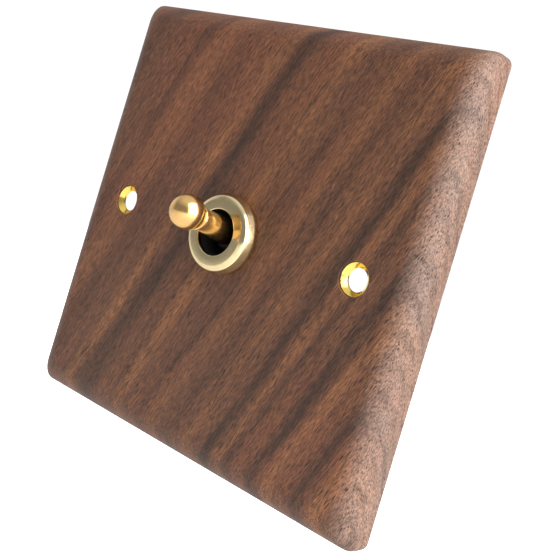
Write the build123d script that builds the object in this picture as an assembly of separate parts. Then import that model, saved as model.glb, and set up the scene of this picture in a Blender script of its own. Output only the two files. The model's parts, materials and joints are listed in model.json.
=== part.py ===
"""Toggle wall switch: a walnut face plate with a brass ball-ended lever and a two-way switch behind it.

Millimetres. +X is to the right seen from the room, +Z is up and +Y runs into the wall.
The origin is the centre of the face plate, in the plane of its back edge, which lies on the wall.
"""
from build123d import *
import math
import os

# ---- face plate ----
PLATE_WIDTH = 86.0          # along X
PLATE_HEIGHT = 86.0         # along Z
PLATE_THICKNESS = 8.0
EDGE_ROUND = 5.6            # round-over of the four front edges
CORNER_ROUND = 2.2          # plan radius of the four corners
RIM_WIDTH = 3.5             # wall round the rear recess
FRONT_WALL = 2.3            # wood left in front of the recess
RECESS_CORNER = 4.0
RECESS_FILLET = 1.0

# ---- fixing holes and their brass cups ----
FIXING_CENTRES = 60.3       # lug spacing of a standard wall box
CUP_OUTER = 6.04            # diameter of the cup's barrel
CUP_FIT = 0.03              # radial gap between a cup and the wood
CUP_SETBACK = 0.5           # top of the cup below the front face
CUP_LIP = 0.12              # width of the ring at the cup's mouth
CUP_CONE_DEPTH = 0.8
THROAT_DIAMETER = 4.2       # clears an M3.5 screw
THROAT_LENGTH = 0.5
CUP_FLANGE = 9.6            # flange diameter behind the wood
CUP_FLANGE_THICKNESS = 0.8
CUP_REAR_MOUTH = 8.2        # the rear of the cup flares out to this diameter

# ---- backing plate, washer and nut behind the wood ----
BACKING_SIDE_GAP = 1.35     # plate to the flanges of the cups
BACKING_END_GAP = 3.5       # plate to the top and bottom of the recess
BACKING_THICKNESS = 1.0
BACKING_CORNER = 3.0
WASHER_THICKNESS = 0.5
WASHER_RING = 15.4
WASHER_TIPS = 17.6
WASHER_TEETH = 12
TOOTH_WIDTH = 1.6
NUT_ACROSS_FLATS = 17.0
NUT_THICKNESS = 2.0
NUT_GAP = 0.6               # free space between the nut and the switch frame

# ---- bush and collar ----
BUSH_DIAMETER = 12.0
BUSH_CLEARANCE = 0.2        # radial gap of the bush in the plates
THREAD_GAP = 0.03           # radial gap in a threaded joint
BUSH_FLANGE = 15.0
BUSH_FLANGE_THICKNESS = 1.0
LINER_BORE = 8.8
LINER_WALL = 0.4
LINER_GAP = 0.04
COLLAR_WALL = 1.9           # outside of the bush
COLLAR_HEIGHT = 3.5
COLLAR_LIP = 1.0            # thickness of the collar's front in front of the bush
COLLAR_SHOULDER = 1.05      # radius of its front outer edge
COLLAR_FOOT_ROUND = 1.2     # radius of its edge by the wood
COLLAR_MOUTH_CHAMFER = 0.15

# ---- lever ----
LEVER_TILT = 9.0            # degrees above the plate's normal at rest, and as much below when thrown
PIVOT_RISE = 3.4            # pivot in front of the switch frame
PIN_DIAMETER = 1.6
PIN_GAP = 0.05
PIN_SHORT = 0.2             # the pin's ends below the bush's thread
BALL_DIAMETER = 6.6
BALL_REACH = 15.1           # pivot to centre of the ball
BEAD_DIAMETER = 4.9
BEAD_THICKNESS = 0.6
BEAD_OVERLAP = 0.7          # how far the bead lies inside the ball's rear
BEAD_ROUND = 0.25
NECK_DIAMETER = 3.8
NECK_LENGTH = 0.3
STEM_TOP_DIAMETER = 4.1
STEM_ROOT_DIAMETER = 5.2
SEAT_REACH = 2.9            # pivot to the seat of the stem on the cradle
SPIGOT_DIAMETER = 3.0
SPIGOT_LENGTH = 1.5
SPIGOT_GAP = 0.03
CRADLE_BALL = 8.0
TAIL_DIAMETER = 5.8
TAIL_REACH = 12.0           # pivot to the end of the tail
TAIL_BORE_DEPTH = 7.5

# ---- plunger and spring ----
PLUNGER_DIAMETER = 2.8
PLUNGER_GAP = 0.05
PLUNGER_REACH = 15.5        # pivot to the plunger's tip
PLUNGER_LENGTH = 6.3
PLUNGER_DOME = 1.2
PLUNGER_SHOULDER = 0.4      # taper length between the shank and the dome
SPRING_WIRE = 0.36
SPRING_TURNS = 6
SPRING_GAP = 0.12           # radial gap of the coil in its bore

# ---- rocker ----
ROCKER_TILT = 8.0           # degrees each side of square
ROCKER_REACH = 6.6          # half its length
ROCKER_WIDTH = 4.4
BLADE_THICKNESS = 0.9
SADDLE_REACH = 3.2
SADDLE_HEIGHT = 1.3
TIP_GAP = 0.05              # gap between the plunger and the saddle
TRUNNION_DIAMETER = 1.4
TRUNNION_GAP = 0.05
TRUNNION_ROOT = 1.8         # inner end of each trunnion from the centre line
TRUNNION_OVERHANG = 0.5     # end of each trunnion outside its ear
CONTACT_REACH = 5.2         # rocker pivot to the centre of a contact
DOME_RADIUS = 2.0
DOME_HEIGHT = 0.6
CONTACT_GAP = 0.03          # the closed contacts stop this far apart

# ---- fixed contacts, strips and bridge ----
FIXED_TIP_DIAMETER = 2.8
FIXED_TIP_HEIGHT = 0.5
STRIP_THICKNESS = 0.8
STRIP_HALF_WIDTH = 1.8
STRIP_START = 3.6           # where a strip begins above or below the rocker pivot
STRIP_SIDE_GAP = 0.2        # strip to the side of its pocket
BRIDGE_HALF_HEIGHT = 2.4
EAR_THICKNESS = 0.8
EAR_GAP = 0.4               # rocker to ear
EAR_HALF_HEIGHT = 1.6
EAR_RISE = 1.1              # ear in front of the rocker pivot
ARM_START = 3.6             # inner edge of the arm to the common terminal

# ---- terminal blocks and screws ----
POCKET_WIDTH = 6.4
POCKET_LENGTH = 7.0
RIB_WIDTH = 4.0             # moulded rib between the two upper pockets
BLOCK_GAP = 0.1             # block to the side of its pocket
WIRE_BORE = 3.6
BLOCK_FRONT_WALL = 1.0
BLOCK_END_WALL = 1.0
THREAD_LENGTH = 2.3
SCREW_DIAMETER = 3.5
SCREW_GAP = 0.05
SCREW_TRAVEL = 1.8
SCREW_SEAT_GAP = 0.1
HEAD_DIAMETER = 4.6
HEAD_HEIGHT = 1.5
HEAD_GAP = 0.3              # radial gap round a screw head in the base
SLOT_WIDTH = 0.8
SLOT_DEPTH = 0.8
EARTH_CLEARANCE = 5.6       # earth terminal below the base
EARTH_RIVET = 3.0
EARTH_RIVET_GAP = 0.03

# ---- base, card and frame ----
BASE_WALL = 1.8             # side walls of the base
BASE_END_WALL = 2.0         # top and bottom walls of the base
CHAMBER_HALF_HEIGHT = 7.0
LEDGE_WIDTH = 0.6           # ledge that the card lies on
CARD_THICKNESS = 0.5
CARD_GAP = 0.05
CARD_HOLE = 9.0
BASE_FLOOR = 1.6
CONTACT_RIB_HALF_WIDTH = 1.6
ENTRY_DIAMETER = 4.4        # wire entry in the wall of the base
FRAME_THICKNESS = 0.8
STRAP_WIDTH = 10.0
TAB_LENGTH = 2.8

# ---- places that follow from the sizes above ----
face_y = -PLATE_THICKNESS
recess_y = face_y + FRONT_WALL
backing_rear = recess_y + BACKING_THICKNESS
washer_rear = backing_rear + WASHER_THICKNESS
nut_rear = washer_rear + NUT_THICKNESS
frame_front = nut_rear + NUT_GAP
frame_rear = frame_front + FRAME_THICKNESS
flange_rear = frame_rear + BUSH_FLANGE_THICKNESS
card_rear = flange_rear + CARD_THICKNESS
collar_front = face_y - COLLAR_HEIGHT
bush_front = collar_front + COLLAR_LIP
pivot_y = frame_front - PIVOT_RISE
rocker_y = pivot_y + PLUNGER_REACH + TIP_GAP + BLADE_THICKNESS / 2
tilt = math.radians(ROCKER_TILT)
dome_centre = DOME_RADIUS - BLADE_THICKNESS / 2 - DOME_HEIGHT
closed_dome_y = rocker_y + CONTACT_REACH * math.sin(tilt) - dome_centre * math.cos(tilt) + DOME_RADIUS
contact_y = closed_dome_y + CONTACT_GAP
strip_front = contact_y + FIXED_TIP_HEIGHT
strip_rear = strip_front + STRIP_THICKNESS
head_seat = strip_rear + SCREW_SEAT_GAP
base_rear = head_seat + SCREW_TRAVEL + HEAD_HEIGHT
chamber_floor = base_rear - BASE_FLOOR
block_depth = BLOCK_FRONT_WALL + WIRE_BORE + THREAD_LENGTH
block_front = strip_front - block_depth
pocket_x = RIB_WIDTH / 2 + POCKET_WIDTH / 2
chamber_half_width = RIB_WIDTH / 2 + POCKET_WIDTH
pocket_z = CHAMBER_HALF_HEIGHT + POCKET_LENGTH / 2
base_half_width = chamber_half_width + BASE_WALL
base_half_height = CHAMBER_HALF_HEIGHT + POCKET_LENGTH + BASE_END_WALL
ledge_half_width = chamber_half_width + LEDGE_WIDTH
ledge_half_height = CHAMBER_HALF_HEIGHT + POCKET_LENGTH + LEDGE_WIDTH
screw_length = head_seat + SCREW_TRAVEL - (block_front + BLOCK_FRONT_WALL + WIRE_BORE + SCREW_SEAT_GAP)
liner_radius = LINER_BORE / 2 + LINER_WALL
bush_bore_radius = liner_radius + LINER_GAP
cup_rear = recess_y + CUP_FLANGE_THICKNESS
backing_width = FIXING_CENTRES - CUP_FLANGE - 2 * BACKING_SIDE_GAP
backing_height = PLATE_HEIGHT - 2 * (RIM_WIDTH + BACKING_END_GAP)
earth_z = BLOCK_GAP - base_half_height - EARTH_CLEARANCE - POCKET_LENGTH / 2

# Each terminal: sideways place, height, and which way its wire comes in (+1 from above, -1 from below).
TERMINALS = {
    "common": (pocket_x, pocket_z, 1),
    "line_one": (-pocket_x, pocket_z, 1),
    "line_two": (0.0, -pocket_z, -1),
}

LEVER = Pos(0, pivot_y, 0) * Rot(X=90 - LEVER_TILT)    # local +Z runs out along the lever
ROCKER = Pos(0, rocker_y, 0) * Rot(X=ROCKER_TILT)      # local +Z runs up the blade


def bar(x, y, z):
    """A box from three (low, high) pairs."""
    centre = [(low + high) / 2 for low, high in (x, y, z)]
    return Pos(*centre) * Box(x[1] - x[0], y[1] - y[0], z[1] - z[0])


def centred(half):
    """A (low, high) pair about zero."""
    return (-half, half)


def rod_x(radius, x, y=0.0, z=0.0):
    """A cylinder along X between the two values in x."""
    return Pos((x[0] + x[1]) / 2, y, z) * Rot(Y=90) * Cylinder(radius, x[1] - x[0])


def rod_y(radius, y, x=0.0, z=0.0):
    """A cylinder along Y between the two values in y."""
    return Pos(x, (y[0] + y[1]) / 2, z) * Rot(X=-90) * Cylinder(radius, y[1] - y[0])


def rod_z(radius, z, x=0.0, y=0.0):
    """A cylinder along Z between the two values in z."""
    return Pos(x, y, (z[0] + z[1]) / 2) * Cylinder(radius, z[1] - z[0])


def cone_y(radii, y, x=0.0, z=0.0):
    """A cone along Y, with a radius at each of the two values in y."""
    return Pos(x, (y[0] + y[1]) / 2, z) * Rot(X=-90) * Cone(radii[0], radii[1], y[1] - y[0])


def rounded_slab(width, height, y, corner):
    """A plate across Y with rounded corners."""
    slab = bar(centred(width / 2), y, centred(height / 2))
    return fillet(slab.edges().filter_by(Axis.Y), corner)


# ---- plate pieces ----
def edge_profile(half_width, half_height, along):
    """A bar whose two front edges along one axis are rounded over."""
    block = bar(centred(half_width), (face_y, 0), centred(half_height))
    front_edges = block.edges().filter_by(along).group_by(Axis.Y)[0]
    return fillet(front_edges, EDGE_ROUND)


def face_plate():
    body = rounded_slab(PLATE_WIDTH, PLATE_HEIGHT, (face_y, 0), CORNER_ROUND)
    body &= edge_profile(PLATE_WIDTH / 2, PLATE_HEIGHT, Axis.Z)
    body &= edge_profile(PLATE_WIDTH, PLATE_HEIGHT / 2, Axis.X)
    width = PLATE_WIDTH - 2 * RIM_WIDTH
    height = PLATE_HEIGHT - 2 * RIM_WIDTH
    recess = rounded_slab(width, height, (recess_y, RIM_WIDTH), RECESS_CORNER)
    recess = fillet(recess.faces().sort_by(Axis.Y)[0].edges(), RECESS_FILLET)
    body -= recess
    body -= rod_y(BUSH_DIAMETER / 2 + BUSH_CLEARANCE, (face_y - 1, 1))
    for side in (-1, 1):
        body -= rod_y(CUP_OUTER / 2 + CUP_FIT, (face_y - 1, 1), x=side * FIXING_CENTRES / 2)
    return body


def screw_cup(side):
    x = side * FIXING_CENTRES / 2
    top = face_y + CUP_SETBACK
    throat = top + CUP_CONE_DEPTH
    flare = throat + THROAT_LENGTH
    cup = rod_y(CUP_OUTER / 2, (top, cup_rear), x=x)
    cup += rod_y(CUP_FLANGE / 2, (recess_y, cup_rear), x=x)
    cup -= rod_y(THROAT_DIAMETER / 2, (top, cup_rear), x=x)
    cup -= cone_y((CUP_OUTER / 2 - CUP_LIP, THROAT_DIAMETER / 2), (top, throat), x=x)
    cup -= cone_y((THROAT_DIAMETER / 2, CUP_REAR_MOUTH / 2), (flare, cup_rear), x=x)
    return cup


def backing_plate():
    plate = rounded_slab(backing_width, backing_height, (recess_y, backing_rear), BACKING_CORNER)
    plate -= rod_y(BUSH_DIAMETER / 2 + BUSH_CLEARANCE, (recess_y, backing_rear))
    return plate - rod_y(EARTH_RIVET / 2 + EARTH_RIVET_GAP, (recess_y, backing_rear), z=earth_z)


def lock_washer():
    washer = rod_y(WASHER_RING / 2, (backing_rear, washer_rear))
    for tooth in range(WASHER_TEETH):
        turn = Rot(Y=360 * tooth / WASHER_TEETH)
        reach = (WASHER_RING / 2 - 1, WASHER_TIPS / 2)
        washer += turn * bar(reach, (backing_rear, washer_rear), centred(TOOTH_WIDTH / 2))
    return washer - rod_y(BUSH_DIAMETER / 2 + THREAD_GAP, (backing_rear, washer_rear))


def bush_nut():
    hexagon = RegularPolygon(NUT_ACROSS_FLATS / 2, 6, major_radius=False)
    nut = Pos(0, washer_rear, 0) * Rot(X=-90) * extrude(hexagon, NUT_THICKNESS)
    return nut - rod_y(BUSH_DIAMETER / 2 + THREAD_GAP, (washer_rear, nut_rear))


# ---- bush pieces ----
def pin_hole(extra):
    """The pivot pin's own space with a gap round it, right across the bush."""
    return rod_x(PIN_DIAMETER / 2 + extra, centred(BUSH_DIAMETER), y=pivot_y)


def threaded_bush():
    bush = rod_y(BUSH_DIAMETER / 2, (bush_front, flange_rear))
    bush += rod_y(BUSH_FLANGE / 2, (frame_rear, flange_rear))
    bush -= rod_y(bush_bore_radius, (bush_front, flange_rear))
    return bush - pin_hole(PIN_GAP)


def bush_liner():
    liner = rod_y(liner_radius, (bush_front, flange_rear))
    liner -= rod_y(LINER_BORE / 2, (bush_front, flange_rear))
    return liner - pin_hole(PIN_GAP)


def pivot_pin():
    return rod_x(PIN_DIAMETER / 2, centred(BUSH_DIAMETER / 2 - PIN_SHORT), y=pivot_y)


def collar_ring():
    ring = rod_y(BUSH_DIAMETER / 2 + COLLAR_WALL, (collar_front, face_y))
    front_edge = ring.faces().sort_by(Axis.Y)[0].edges()
    ring = fillet(front_edge, COLLAR_SHOULDER)
    foot_edge = ring.faces().sort_by(Axis.Y)[-1].edges()
    ring = fillet(foot_edge, COLLAR_FOOT_ROUND)
    mouth = LINER_BORE / 2
    ring -= rod_y(mouth, (collar_front, face_y))
    ring -= rod_y(BUSH_DIAMETER / 2 + THREAD_GAP, (bush_front, face_y))
    bevel = (mouth + COLLAR_MOUTH_CHAMFER, mouth)
    return ring - cone_y(bevel, (collar_front, collar_front + COLLAR_MOUTH_CHAMFER))


# ---- lever pieces, drawn along local Z and then laid along the lever ----
def toggle_lever():
    bead_rear = BALL_REACH - BALL_DIAMETER / 2 + BEAD_OVERLAP - BEAD_THICKNESS
    bead = rod_z(BEAD_DIAMETER / 2, (bead_rear, bead_rear + BEAD_THICKNESS))
    bead = fillet(bead.edges().filter_by(GeomType.CIRCLE), BEAD_ROUND)
    neck_rear = bead_rear - NECK_LENGTH
    stem_length = neck_rear - SEAT_REACH
    stem = Cone(STEM_ROOT_DIAMETER / 2, STEM_TOP_DIAMETER / 2, stem_length)
    lever = Pos(0, 0, BALL_REACH) * Sphere(BALL_DIAMETER / 2)
    lever += bead
    lever += rod_z(NECK_DIAMETER / 2, (neck_rear - 0.1, BALL_REACH))
    lever += Pos(0, 0, SEAT_REACH + stem_length / 2) * stem
    lever += rod_z(SPIGOT_DIAMETER / 2, (SEAT_REACH - SPIGOT_LENGTH, SEAT_REACH + 0.5))
    return LEVER * lever


def lever_cradle():
    cradle = Sphere(CRADLE_BALL / 2)
    cradle -= rod_z(CRADLE_BALL, (SEAT_REACH, CRADLE_BALL))
    cradle += rod_z(TAIL_DIAMETER / 2, (-TAIL_REACH, 0))
    cradle -= rod_z(SPIGOT_DIAMETER / 2 + SPIGOT_GAP, (SEAT_REACH - SPIGOT_LENGTH, SEAT_REACH))
    bore = PLUNGER_DIAMETER / 2 + PLUNGER_GAP
    cradle -= rod_z(bore, (-TAIL_REACH, TAIL_BORE_DEPTH - TAIL_REACH))
    cradle -= rod_x(PIN_DIAMETER / 2 + PIN_GAP, centred(CRADLE_BALL))
    return LEVER * cradle


def plunger():
    dome_z = PLUNGER_DOME - PLUNGER_REACH
    shank = (dome_z + PLUNGER_SHOULDER, PLUNGER_LENGTH - PLUNGER_REACH)
    shoulder = Cone(PLUNGER_DOME, PLUNGER_DIAMETER / 2, PLUNGER_SHOULDER)
    pin = Pos(0, 0, dome_z) * Sphere(PLUNGER_DOME)
    pin += Pos(0, 0, dome_z + PLUNGER_SHOULDER / 2) * shoulder
    pin += rod_z(PLUNGER_DIAMETER / 2, shank)
    return LEVER * pin


def plunger_spring():
    """An open coil between the plunger's rear and the bottom of its bore."""
    bottom = PLUNGER_LENGTH - PLUNGER_REACH + SPRING_WIRE / 2
    top = TAIL_BORE_DEPTH - TAIL_REACH - SPRING_WIRE / 2
    radius = PLUNGER_DIAMETER / 2 + PLUNGER_GAP - SPRING_GAP - SPRING_WIRE / 2
    coil = Helix(pitch=(top - bottom) / SPRING_TURNS, height=top - bottom, radius=radius)
    section = Plane(origin=coil @ 0, z_dir=coil % 0) * Circle(SPRING_WIRE / 2)
    return LEVER * Pos(0, 0, bottom) * sweep(section, path=coil, is_frenet=True)


# ---- rocker pieces, drawn along local Z and then tilted ----
def in_rocker_frame(y, z):
    """A point of the middle plane as (along the blade, in front of the blade)."""
    ahead = rocker_y - y
    return (z * math.cos(tilt) + ahead * math.sin(tilt), ahead * math.cos(tilt) - z * math.sin(tilt))


def saddle_arc():
    """Radius and centre height of the dished saddle, which follows the plunger's dome as both swing."""
    arm = PLUNGER_REACH - PLUNGER_DOME
    lean = math.radians(LEVER_TILT)
    along, high = in_rocker_frame(pivot_y + arm * math.cos(lean), -arm * math.sin(lean))
    low = rocker_y - (pivot_y + arm)
    rise = high - low
    path_radius = (along ** 2 + rise ** 2) / (2 * rise)
    return path_radius + PLUNGER_DOME + TIP_GAP, low + path_radius


def rocker_contact():
    half = ROCKER_WIDTH / 2
    skin = BLADE_THICKNESS / 2
    radius, height = saddle_arc()
    blade = bar(centred(half), centred(skin), centred(ROCKER_REACH))
    blade += bar(centred(half), (-SADDLE_HEIGHT, skin), centred(SADDLE_REACH))
    blade -= rod_x(radius, centred(ROCKER_WIDTH), y=-height)
    outer = half + EAR_GAP + EAR_THICKNESS + TRUNNION_OVERHANG
    for ends in ((TRUNNION_ROOT, outer), (-outer, -TRUNNION_ROOT)):
        blade += rod_x(TRUNNION_DIAMETER / 2, ends)
    return ROCKER * blade


def rocker_tips():
    tips = []
    for side in (-1, 1):
        dome = Pos(0, -dome_centre, side * CONTACT_REACH) * Sphere(DOME_RADIUS)
        below = (BLADE_THICKNESS / 2, 2 * DOME_RADIUS)
        reach = side * CONTACT_REACH
        tips.append(dome & bar(centred(DOME_RADIUS), below, (reach - DOME_RADIUS, reach + DOME_RADIUS)))
    return ROCKER * Compound(children=tips)


# ---- fixed electrical pieces ----
def screw_clearance(name):
    x, z, _ = TERMINALS[name]
    return rod_y(SCREW_DIAMETER / 2 + SCREW_GAP, (strip_front, strip_rear), x=x, z=z)


def pocket_strip(name):
    """The part of a strip that lies under its terminal block."""
    x, z, way = TERMINALS[name]
    half = POCKET_WIDTH / 2 - STRIP_SIDE_GAP
    far = way * (CHAMBER_HALF_HEIGHT + POCKET_LENGTH - STRIP_SIDE_GAP)
    near = way * STRIP_START
    return bar((x - half, x + half), (strip_front, strip_rear), (min(near, far), max(near, far)))


def line_strip(name):
    """A strip from a line terminal to its fixed contact, which is on the centre line."""
    x, _, way = TERMINALS[name]
    root = way * STRIP_START
    shoulder = way * (CHAMBER_HALF_HEIGHT - STRIP_SIDE_GAP)
    across = (min(x, -STRIP_HALF_WIDTH), STRIP_HALF_WIDTH)
    strip = bar(across, (strip_front, strip_rear), (min(root, shoulder), max(root, shoulder)))
    return strip + pocket_strip(name) - screw_clearance(name)


def fixed_contact(name):
    way = TERMINALS[name][2]
    return rod_y(FIXED_TIP_DIAMETER / 2, (contact_y, strip_front), z=way * CONTACT_REACH)


def common_bridge():
    ear_inner = ROCKER_WIDTH / 2 + EAR_GAP
    ear_outer = ear_inner + EAR_THICKNESS
    arm_outer = pocket_x + POCKET_WIDTH / 2 - STRIP_SIDE_GAP
    sheet = (strip_front, strip_rear)
    bridge = bar((-ear_outer, arm_outer), sheet, centred(BRIDGE_HALF_HEIGHT))
    bridge += bar((ARM_START, arm_outer), sheet, (0, CHAMBER_HALF_HEIGHT + 1))
    arm_under_block = bar((-ARM_START, 2 * arm_outer), sheet, (CHAMBER_HALF_HEIGHT, 2 * base_half_height))
    bridge += pocket_strip("common") & arm_under_block
    for side in (-1, 1):
        across = sorted((side * ear_inner, side * ear_outer))
        bridge += bar(across, (rocker_y - EAR_RISE, strip_front), centred(EAR_HALF_HEIGHT))
    bridge -= rod_x(TRUNNION_DIAMETER / 2 + TRUNNION_GAP, centred(2 * ear_outer), y=rocker_y)
    return bridge - screw_clearance("common")


def terminal_block(x, z, way, front):
    """A brass block with a blind wire bore along Z and a threaded hole from the rear."""
    half = POCKET_WIDTH / 2 - BLOCK_GAP
    length = POCKET_LENGTH / 2 - BLOCK_GAP
    bore_y = front + BLOCK_FRONT_WALL + WIRE_BORE / 2
    block = bar((x - half, x + half), (front, front + block_depth), (z - length, z + length))
    bore = sorted((z + way * length, z - way * (length - BLOCK_END_WALL)))
    block -= rod_z(WIRE_BORE / 2, bore, x=x, y=bore_y)
    return block - rod_y(SCREW_DIAMETER / 2 + SCREW_GAP, (bore_y, front + block_depth), x=x, z=z)


def terminal_screw(x, z, front):
    """A slotted screw backed out until its tip has just left the wire bore."""
    tip = front + BLOCK_FRONT_WALL + WIRE_BORE + SCREW_SEAT_GAP
    seat = tip + screw_length
    screw = rod_y(SCREW_DIAMETER / 2, (tip, seat), x=x, z=z)
    screw += rod_y(HEAD_DIAMETER / 2, (seat, seat + HEAD_HEIGHT), x=x, z=z)
    slot = (seat + HEAD_HEIGHT - SLOT_DEPTH, seat + HEAD_HEIGHT)
    half = HEAD_DIAMETER / 2
    return screw - bar((x - half, x + half), slot, (z - SLOT_WIDTH / 2, z + SLOT_WIDTH / 2))


def earth_terminal():
    block = terminal_block(0, earth_z, -1, backing_rear)
    return block + rod_y(EARTH_RIVET / 2, (recess_y, backing_rear), z=earth_z)


# ---- housing pieces ----
def terminal_base():
    base = bar(centred(base_half_width), (frame_rear, base_rear), centred(base_half_height))
    base -= bar(centred(ledge_half_width), (frame_rear, card_rear), centred(ledge_half_height))
    chamber = (card_rear, chamber_floor)
    base -= bar(centred(chamber_half_width), chamber, centred(CHAMBER_HALF_HEIGHT))
    rib_half_height = CONTACT_REACH + STRIP_THICKNESS
    base += bar(centred(CONTACT_RIB_HALF_WIDTH), (strip_rear, chamber_floor), centred(rib_half_height))
    bore_y = block_front + BLOCK_FRONT_WALL + WIRE_BORE / 2
    for x, z, way in TERMINALS.values():
        across = (x - POCKET_WIDTH / 2, x + POCKET_WIDTH / 2)
        base -= bar(across, (card_rear, strip_rear), (z - POCKET_LENGTH / 2, z + POCKET_LENGTH / 2))
        base -= rod_y(HEAD_DIAMETER / 2 + HEAD_GAP, (strip_rear, base_rear), x=x, z=z)
        base -= rod_z(ENTRY_DIAMETER / 2, sorted((z, way * base_half_height)), x=x, y=bore_y)
    return base


def insulating_card():
    half_width = ledge_half_width - CARD_GAP
    half_height = ledge_half_height - CARD_GAP
    card = bar(centred(half_width), (flange_rear, card_rear), centred(half_height))
    return card - rod_y(CARD_HOLE / 2, (flange_rear, card_rear))


def switch_frame():
    outer = base_half_width + FRAME_THICKNESS
    frame = bar(centred(outer), (frame_front, frame_rear), centred(base_half_height))
    for side in (-1, 1):
        strap = sorted((side * base_half_width, side * outer))
        tab = sorted((side * (outer - TAB_LENGTH), side * outer))
        tab_rear = base_rear + FRAME_THICKNESS
        frame += bar(strap, (frame_rear, tab_rear), centred(STRAP_WIDTH / 2))
        frame += bar(tab, (base_rear, tab_rear), centred(STRAP_WIDTH / 2))
    return frame - rod_y(BUSH_DIAMETER / 2 + THREAD_GAP, (frame_front, frame_rear))


def all_pieces():
    """Every piece by name."""
    pieces = {
        "face_plate": face_plate(),
        "screw_cup_left": screw_cup(-1),
        "screw_cup_right": screw_cup(1),
        "backing_plate": backing_plate(),
        "lock_washer": lock_washer(),
        "bush_nut": bush_nut(),
        "threaded_bush": threaded_bush(),
        "bush_liner": bush_liner(),
        "pivot_pin": pivot_pin(),
        "collar_ring": collar_ring(),
        "toggle_lever": toggle_lever(),
        "lever_cradle": lever_cradle(),
        "plunger": plunger(),
        "plunger_spring": plunger_spring(),
        "rocker_contact": rocker_contact(),
        "rocker_tips": rocker_tips(),
        "common_bridge": common_bridge(),
        "earth_terminal": earth_terminal(),
        "earth_screw": terminal_screw(0, earth_z, backing_rear),
        "terminal_base": terminal_base(),
        "insulating_card": insulating_card(),
        "switch_frame": switch_frame(),
    }
    for name in ("line_one", "line_two"):
        pieces[f"{name}_strip"] = line_strip(name)
        pieces[f"{name}_contact"] = fixed_contact(name)
    for name, (x, z, way) in TERMINALS.items():
        pieces[f"{name}_terminal"] = terminal_block(x, z, way, block_front)
        pieces[f"{name}_screw"] = terminal_screw(x, z, block_front)
    return pieces


os.makedirs("parts", exist_ok=True)
for node, shape in all_pieces().items():
    export_step(shape, f"parts/{node}.step")
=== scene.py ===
"""Looks for a toggle wall switch.

A walnut face plate with its brass collar, ball-ended lever and two cups, and the switch body behind it.
"""

import json
import logging
import math
from collections.abc import Iterable, Iterator, Sequence
from dataclasses import dataclass, field, replace
from enum import Enum
from typing import Any, NamedTuple

import bmesh
import bpy
from bmesh.types import BMEdge, BMesh
from bpy.types import Material, Node, NodeSocket, NodeTree, Object
from mathutils import Matrix, Vector


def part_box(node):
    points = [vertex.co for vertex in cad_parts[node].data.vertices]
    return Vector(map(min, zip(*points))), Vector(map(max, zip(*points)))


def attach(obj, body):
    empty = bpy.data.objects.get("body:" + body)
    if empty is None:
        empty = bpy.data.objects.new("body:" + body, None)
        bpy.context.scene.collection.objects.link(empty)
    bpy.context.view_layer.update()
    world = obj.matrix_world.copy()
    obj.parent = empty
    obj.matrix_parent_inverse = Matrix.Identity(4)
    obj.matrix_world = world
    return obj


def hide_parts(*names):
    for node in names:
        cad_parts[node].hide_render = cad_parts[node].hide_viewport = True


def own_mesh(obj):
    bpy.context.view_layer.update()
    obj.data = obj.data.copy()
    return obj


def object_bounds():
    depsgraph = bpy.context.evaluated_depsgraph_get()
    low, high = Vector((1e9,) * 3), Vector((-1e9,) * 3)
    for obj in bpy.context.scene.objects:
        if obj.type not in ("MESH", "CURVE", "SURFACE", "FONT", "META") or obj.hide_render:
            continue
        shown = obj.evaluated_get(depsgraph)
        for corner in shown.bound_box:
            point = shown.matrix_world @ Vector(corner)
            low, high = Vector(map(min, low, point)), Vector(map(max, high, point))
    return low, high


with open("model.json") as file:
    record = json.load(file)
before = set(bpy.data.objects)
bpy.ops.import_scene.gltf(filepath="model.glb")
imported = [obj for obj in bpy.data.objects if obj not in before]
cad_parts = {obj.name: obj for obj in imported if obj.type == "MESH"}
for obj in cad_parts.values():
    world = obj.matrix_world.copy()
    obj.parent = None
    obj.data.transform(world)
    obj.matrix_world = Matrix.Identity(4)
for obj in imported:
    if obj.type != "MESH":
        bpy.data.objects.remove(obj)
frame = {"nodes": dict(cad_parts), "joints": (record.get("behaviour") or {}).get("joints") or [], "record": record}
cad_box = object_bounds()

log = logging.getLogger("toggle_switch")
MM = 0.001
PROFILE_STEPS = 12
CORNER_STEPS = 10
LATHE_STEPS = 96
MERGE = 0.0001 * MM
CAD_MERGE = 0.001 * MM
NUMBER_SOCKET = "NodeSocketFloat"
Triple = tuple[float, float, float]
Colour = Triple
Corner = Triple
Loop = list[BMEdge]


class Slot(Enum):
    """The record's material slots."""

    WALNUT = "walnut"
    POLISHED_BRASS = "polished_brass"
    YELLOW_BRASS = "yellow_brass"
    TURNED_BRASS = "turned_brass"
    STRIP_BRASS = "strip_brass"
    ZINC_STEEL = "zinc_steel"
    SPRING_STEEL = "spring_steel"
    PIN_STEEL = "pin_steel"
    SILVER_TIP = "silver_tip"
    BLACK_MOULDING = "black_moulding"
    BLACK_NYLON = "black_nylon"
    FIBRE_CARD = "fibre_card"


NODE_SLOTS = {part["node"]: Slot(part["material_slot"]) for part in frame["record"]["subparts"]}


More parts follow.
